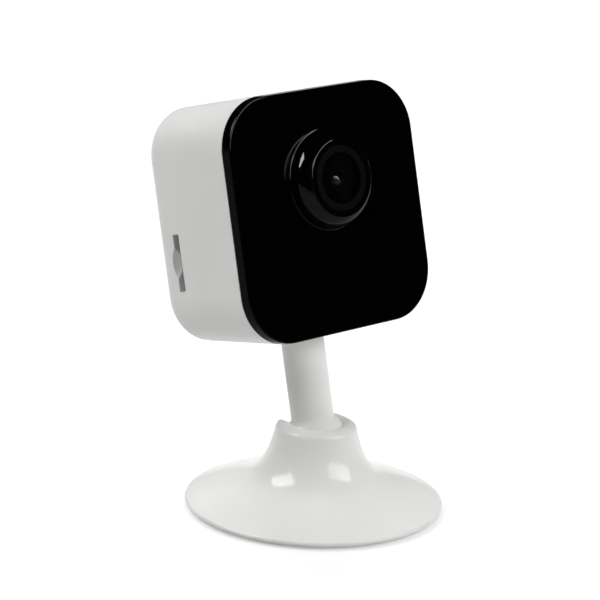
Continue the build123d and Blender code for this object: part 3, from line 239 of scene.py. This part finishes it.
def ramp(tree, field, low, high):
    """Turns a field into a colour between low and high."""
    node = tree.nodes.new("ShaderNodeValToRGB")
    first, last = node.color_ramp.elements
    first.position = NOISE_LOW
    first.color = (*low, 1)
    last.position = NOISE_HIGH
    last.color = (*high, 1)
    tree.links.new(field, node.inputs["Fac"])
    return node.outputs["Color"]


def spread(tree, field, low, high):
    """Turns a field into a number between low and high."""
    node = tree.nodes.new("ShaderNodeMapRange")
    node.inputs["From Min"].default_value = NOISE_LOW
    node.inputs["From Max"].default_value = NOISE_HIGH
    node.inputs["To Min"].default_value = low
    node.inputs["To Max"].default_value = high
    tree.links.new(field, node.inputs["Value"])
    return node.outputs["Result"]


def rough_bump(tree, field, strength, depth):
    """A bump from a field: depth in metres, strength from 0 to 1."""
    node = tree.nodes.new("ShaderNodeBump")
    node.inputs["Strength"].default_value = strength
    node.inputs["Distance"].default_value = depth
    tree.links.new(field, node.inputs["Height"])
    return node.outputs["Normal"]


print("noise is read from", NOISE_LOW, "to", NOISE_HIGH)

# %% [markdown]
# One helper for every finish
#
# Each finish takes three things from such fields: a slight drift of its colour, a roughness that
# wanders, and a bump at the scale of the real grain. Wiring them by hand for every finish would repeat
# the same ten lines, so one helper does it. What is the same all over a surface goes straight on the
# shader's own socket.

# %% A helper for moulded and machined finishes
def finish(
    name, low, high, roughness, drift=60, wander=400, grain_scale=9000, strength=0.1, depth=2e-5,
    stretch=None, relief=None, **fixed,
):
    """Colour from low to high, a wandering roughness and a fine bump, with the fixed sockets set by name.

    Drift, wander and grain_scale are noise scales to the metre, for the colour, the roughness and the bump.
    A relief function gives the bump another field than noise.
    """
    material, shader = new_material(name)
    tree = material.node_tree
    fine = relief(tree) if relief else grain(tree, grain_scale, stretch)
    colour = ramp(tree, grain(tree, drift), low, high)
    rough = spread(tree, grain(tree, wander, stretch), *roughness)
    tree.links.new(colour, shader.inputs["Base Color"])
    tree.links.new(rough, shader.inputs["Roughness"])
    tree.links.new(rough_bump(tree, fine, strength, depth), shader.inputs["Normal"])
    for socket, value in fixed.items():
        shader.inputs[socket.replace("_", " ")].default_value = value
    return material


print("a finish sets colour, roughness and bump")

# %% [markdown]
# Turned rings and printed tracks
#
# The dark ring round the lens and the barrel behind it are turned, so their surface is a set of very
# fine circles about the lens axis, and a circuit board has tracks in straight rows. Cutting them into
# the meshes would cost many thousands of faces for a depth of some hundredths of a millimetre, so they
# are bumps. Both patterns live in the head, which leans back, so their coordinates first turn until the
# lens axis is Z. The middle of the ring's box is a point on that axis.

# %% Coordinates along the lens axis
HEAD_LEAN = radians(14.25)
GROOVE_PITCH = 0.16 * MM
WAVE_RADIANS = 20  # what the wave node counts to a unit of length
TRACK_LENGTH = 1.1 * MM
BRICK_LENGTH = 0.5  # one brick of the brick node, in its own units
TRACK_WIDTH = 0.03  # in the same units
TRACK_SOFTNESS = 0.3
lens_axis = Vector((0, -cos(HEAD_LEAN), sin(HEAD_LEAN)))
ring_low, ring_high = (Vector(corner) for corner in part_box("lens_ring"))
ring_middle = (ring_low + ring_high) / 2
to_axis = lens_axis.rotation_difference(Vector((0, 0, 1))).to_matrix()


def along_lens(tree):
    """The object's metres, turned and shifted so that the lens axis is Z."""
    place = tree.nodes.new("ShaderNodeTexCoord")
    turn = tree.nodes.new("ShaderNodeMapping")
    turn.inputs["Rotation"].default_value = to_axis.to_euler()
    turn.inputs["Location"].default_value = -(to_axis @ ring_middle)
    tree.links.new(place.outputs["Object"], turn.inputs["Vector"])
    return turn.outputs["Vector"]


def turned_grooves(tree):
    """Fine circles about the lens axis, as a lathe leaves them."""
    wave = tree.nodes.new("ShaderNodeTexWave")
    wave.wave_type = "RINGS"
    wave.rings_direction = "Z"
    wave.inputs["Scale"].default_value = 2 * pi / (WAVE_RADIANS * GROOVE_PITCH)
    tree.links.new(along_lens(tree), wave.inputs["Vector"])
    return wave.outputs["Fac"]


def board_tracks(tree):
    """Rows of tracks under the green lacquer, as the joints of a brick pattern."""
    bricks = tree.nodes.new("ShaderNodeTexBrick")
    bricks.inputs["Scale"].default_value = BRICK_LENGTH / TRACK_LENGTH
    bricks.inputs["Mortar Size"].default_value = TRACK_WIDTH
    bricks.inputs["Mortar Smooth"].default_value = TRACK_SOFTNESS
    tree.links.new(along_lens(tree), bricks.inputs["Vector"])
    return bricks.outputs["Fac"]


print("lens axis", [round(x, 3) for x in lens_axis])
print("through", [round(x / MM, 2) for x in ring_middle], "mm")

# %% [markdown]
# White plastics
#
# The housing is moulded with a fine satin grain, which blurs every reflection. The stem and the base
# come from a polished mould and show crisp patches of the soft boxes. A low roughness alone would make
# them a mirror all over, so the gloss is a thin clear coat over a satin body, and its weight sets how
# bright the patches are.

# %% The two white plastics
white_satin = finish(
    "white_satin", (0.78, 0.78, 0.77), (0.81, 0.81, 0.80), (0.34, 0.42), grain_scale=7000,
    Specular_IOR_Level=0.3,
)
white_gloss = finish(
    "white_gloss", (0.795, 0.795, 0.775), (0.825, 0.825, 0.805), (0.30, 0.40), grain_scale=900,
    strength=0.03, Specular_IOR_Level=0.05, Coat_Weight=0.25, Coat_Roughness=0.05,
)
print("white plastics:", white_satin.name, white_gloss.name)

# %% [markdown]
# Black plastics
#
# The front panel and the hood round the lens are polished black plastic, the ring in the hood's mouth is
# matt and turned, and the frame behind them is a plain matt moulding. A default shader mirrors the white
# sheet so strongly that the black turns grey. In the photograph the black stays black, so the mirror
# part is far below the default, least on the flat panel, and the sparkles bring the bright patches back.

# %% The four black plastics
black_gloss = finish(
    "black_gloss", (0.0004, 0.0004, 0.0004), (0.0007, 0.0007, 0.0008), (0.03, 0.05), grain_scale=900,
    strength=0.02, Specular_IOR_Level=0.085,
)
panel_gloss = finish(
    "panel_gloss", (0.0003, 0.0003, 0.0003), (0.0006, 0.0006, 0.0007), (0.03, 0.05), grain_scale=900,
    strength=0.02, Specular_IOR_Level=0.035,
)
ring_matt = finish(
    "ring_matt", (0.0012, 0.0012, 0.0013), (0.0018, 0.0018, 0.0019), (0.5, 0.6), strength=0.25, depth=1e-5,
    relief=turned_grooves, Specular_IOR_Level=0.012,
)
black_matt = finish(
    "black_matt", (0.0022, 0.0022, 0.0024), (0.0034, 0.0034, 0.0036), (0.5, 0.62), grain_scale=14000,
    Specular_IOR_Level=0.08,
)
print("black plastics:", black_gloss.name, panel_gloss.name, ring_matt.name, black_matt.name)

# %% [markdown]
# Glass and the lens
#
# The cover glass is coated against reflections, so its index is set low, which mirrors little. Behind it
# the small front lens shows one warm spot on black. Clear glass there would need every surface of a real
# lens to look that dark, so the front lens is a dark mirror with a warm tint, and the barrel round it
# swallows light. The mirror's near-black colour is partly painted shade: it stands for the black barrel
# and the shade behind the glass. The rear lens, which nobody sees from the front, is plain clear glass.

# %% Glass, lens and barrel
coated_glass = finish(
    "coated_glass", (0.84, 0.86, 0.83), (0.87, 0.89, 0.86), (0.0, 0.004), grain_scale=600, strength=0.01,
    Transmission_Weight=1.0, IOR=1.16,
)
lens_glass = finish(
    "lens_glass", (0.82, 0.84, 0.74), (0.86, 0.88, 0.78), (0.01, 0.03), grain_scale=600, strength=0.01,
    Transmission_Weight=1.0, IOR=1.5,
)
# near-black colour: partly painted shade, standing for the black barrel and the shade behind the glass
painted_shade_lens = finish(
    "painted_shade_lens", (0.0006, 0.0007, 0.0006), (0.0010, 0.0011, 0.0009), (0.005, 0.01), grain_scale=600,
    strength=0.01, Specular_IOR_Level=0.08, Specular_Tint=(1.0, 0.92, 0.70, 1),
)
barrel_black = finish(
    "barrel_black", (0.0004, 0.0004, 0.0004), (0.0008, 0.0008, 0.0008), (0.6, 0.75), strength=0.3,
    depth=1e-5, relief=turned_grooves, Specular_IOR_Level=0.0,
)
print("lens finishes:", coated_glass.name, lens_glass.name, painted_shade_lens.name, barrel_black.name)

# %% [markdown]
# Rubber and metals
#
# The foot pad and the seals inside are soft rubber with a coarse, dull grain. Sheet metal is rolled or
# brushed, so its roughness and bump run in streaks. The shader's anisotropic socket could stretch the
# highlights, but a noise field drawn out along one axis shows the single streaks too.

# %% Rubber, steel, aluminium and copper
STREAKS_ALONG_X = (0.06, 1.0, 1.0)
soft_rubber = finish(
    "soft_rubber", (0.05, 0.05, 0.05), (0.07, 0.07, 0.07), (0.7, 0.85), grain_scale=5000, strength=0.3,
)
steel = finish(
    "steel", (0.58, 0.58, 0.60), (0.66, 0.66, 0.67), (0.24, 0.36), grain_scale=6000,
    stretch=STREAKS_ALONG_X, Metallic=1.0,
)
aluminium = finish(
    "aluminium", (0.68, 0.69, 0.70), (0.75, 0.76, 0.77), (0.3, 0.42), grain_scale=8000,
    stretch=STREAKS_ALONG_X, Metallic=1.0,
)
copper = finish(
    "copper", (0.66, 0.36, 0.2), (0.75, 0.45, 0.28), (0.25, 0.4), grain_scale=8000, Metallic=1.0,
)
print("rubber and metals:", soft_rubber.name, steel.name, aluminium.name, copper.name)

# %% [markdown]
# Boards and what they carry
#
# Inside are lacquered green boards, black chips, clear lamp bodies, an amber film cable and pale
# moulded plates. Most of them show only when the part is taken apart, so each gets a simple finish
# of its kind. The boards alone have a pattern, the tracks, because a board without them looks like
# painted card.

# %% Boards, chips, lamps, film and plates
green_board = finish(
    "green_board", (0.015, 0.12, 0.05), (0.03, 0.18, 0.09), (0.3, 0.4), drift=700, strength=0.4, depth=4e-5,
    relief=board_tracks,
)
chip_black = finish(
    "chip_black", (0.02, 0.02, 0.022), (0.03, 0.03, 0.032), (0.45, 0.6), grain_scale=12000,
)
lamp_resin = finish(
    "lamp_resin", (0.5, 0.5, 0.54), (0.58, 0.58, 0.62), (0.08, 0.15), Transmission_Weight=0.6,
)
film_amber = finish(
    "film_amber", (0.55, 0.27, 0.07), (0.65, 0.34, 0.1), (0.3, 0.4), grain_scale=4000,
)
grey_plate = finish(
    "grey_plate", (0.5, 0.5, 0.49), (0.56, 0.56, 0.55), (0.45, 0.55), grain_scale=6000,
)
print("inside:", green_board.name, chip_black.name, lamp_resin.name, film_amber.name, grey_plate.name)

# %% [markdown]
# Dress the CAD nodes
#
# A CAD node whose shape is right stays as it is and only changes its material slot. Each node could be
# dressed where its finish is made, but one table grouped by finish shows at a glance which node has
# which, and a new node is one more name in a list.

# %% Give every node its finish
FINISHES = {
    white_satin: ["rear_shell", "reset_button"],
    white_gloss: ["base_cover", "stem"],
    black_gloss: ["lens_hood"],
    panel_gloss: ["front_panel"],
    ring_matt: ["lens_ring"],
    black_matt: ["front_frame", "filter_carriage", "speaker", "led_header"],
    barrel_black: ["lens_barrel", "lens_holder"],
    coated_glass: ["cover_glass", "filter_glass"],
    lens_glass: ["rear_lens"],
    painted_shade_lens: ["front_lens"],
    soft_rubber: ["foot_pad", "mic_boot", "speaker_gasket", "thermal_pad"],
    grey_plate: ["base_plate", "ball_cup", "ribbon_sockets"],
    steel: [
        "base_weight", "base_screws", "case_screws", "board_screws", "cup_spring", "stem_washer",
        "stem_nut", "usb_socket", "microphone",
    ],
    aluminium: ["heat_sink"],
    copper: ["aerial", "speaker_contacts"],
    green_board: ["main_board", "sensor_board", "led_board"],
    chip_black: ["processor", "image_sensor", "reset_switch", "aerial_lead", "card_socket"],
    lamp_resin: ["infrared_leds"],
    film_amber: ["ribbon_cable"],
}
dressed = set()
for material, names in FINISHES.items():
    for name in names:
        nodes[name].material_slots[0].material = material
        dressed.add(name)
print("dressed:", len(dressed), "left plain:", sorted(set(nodes) - dressed))
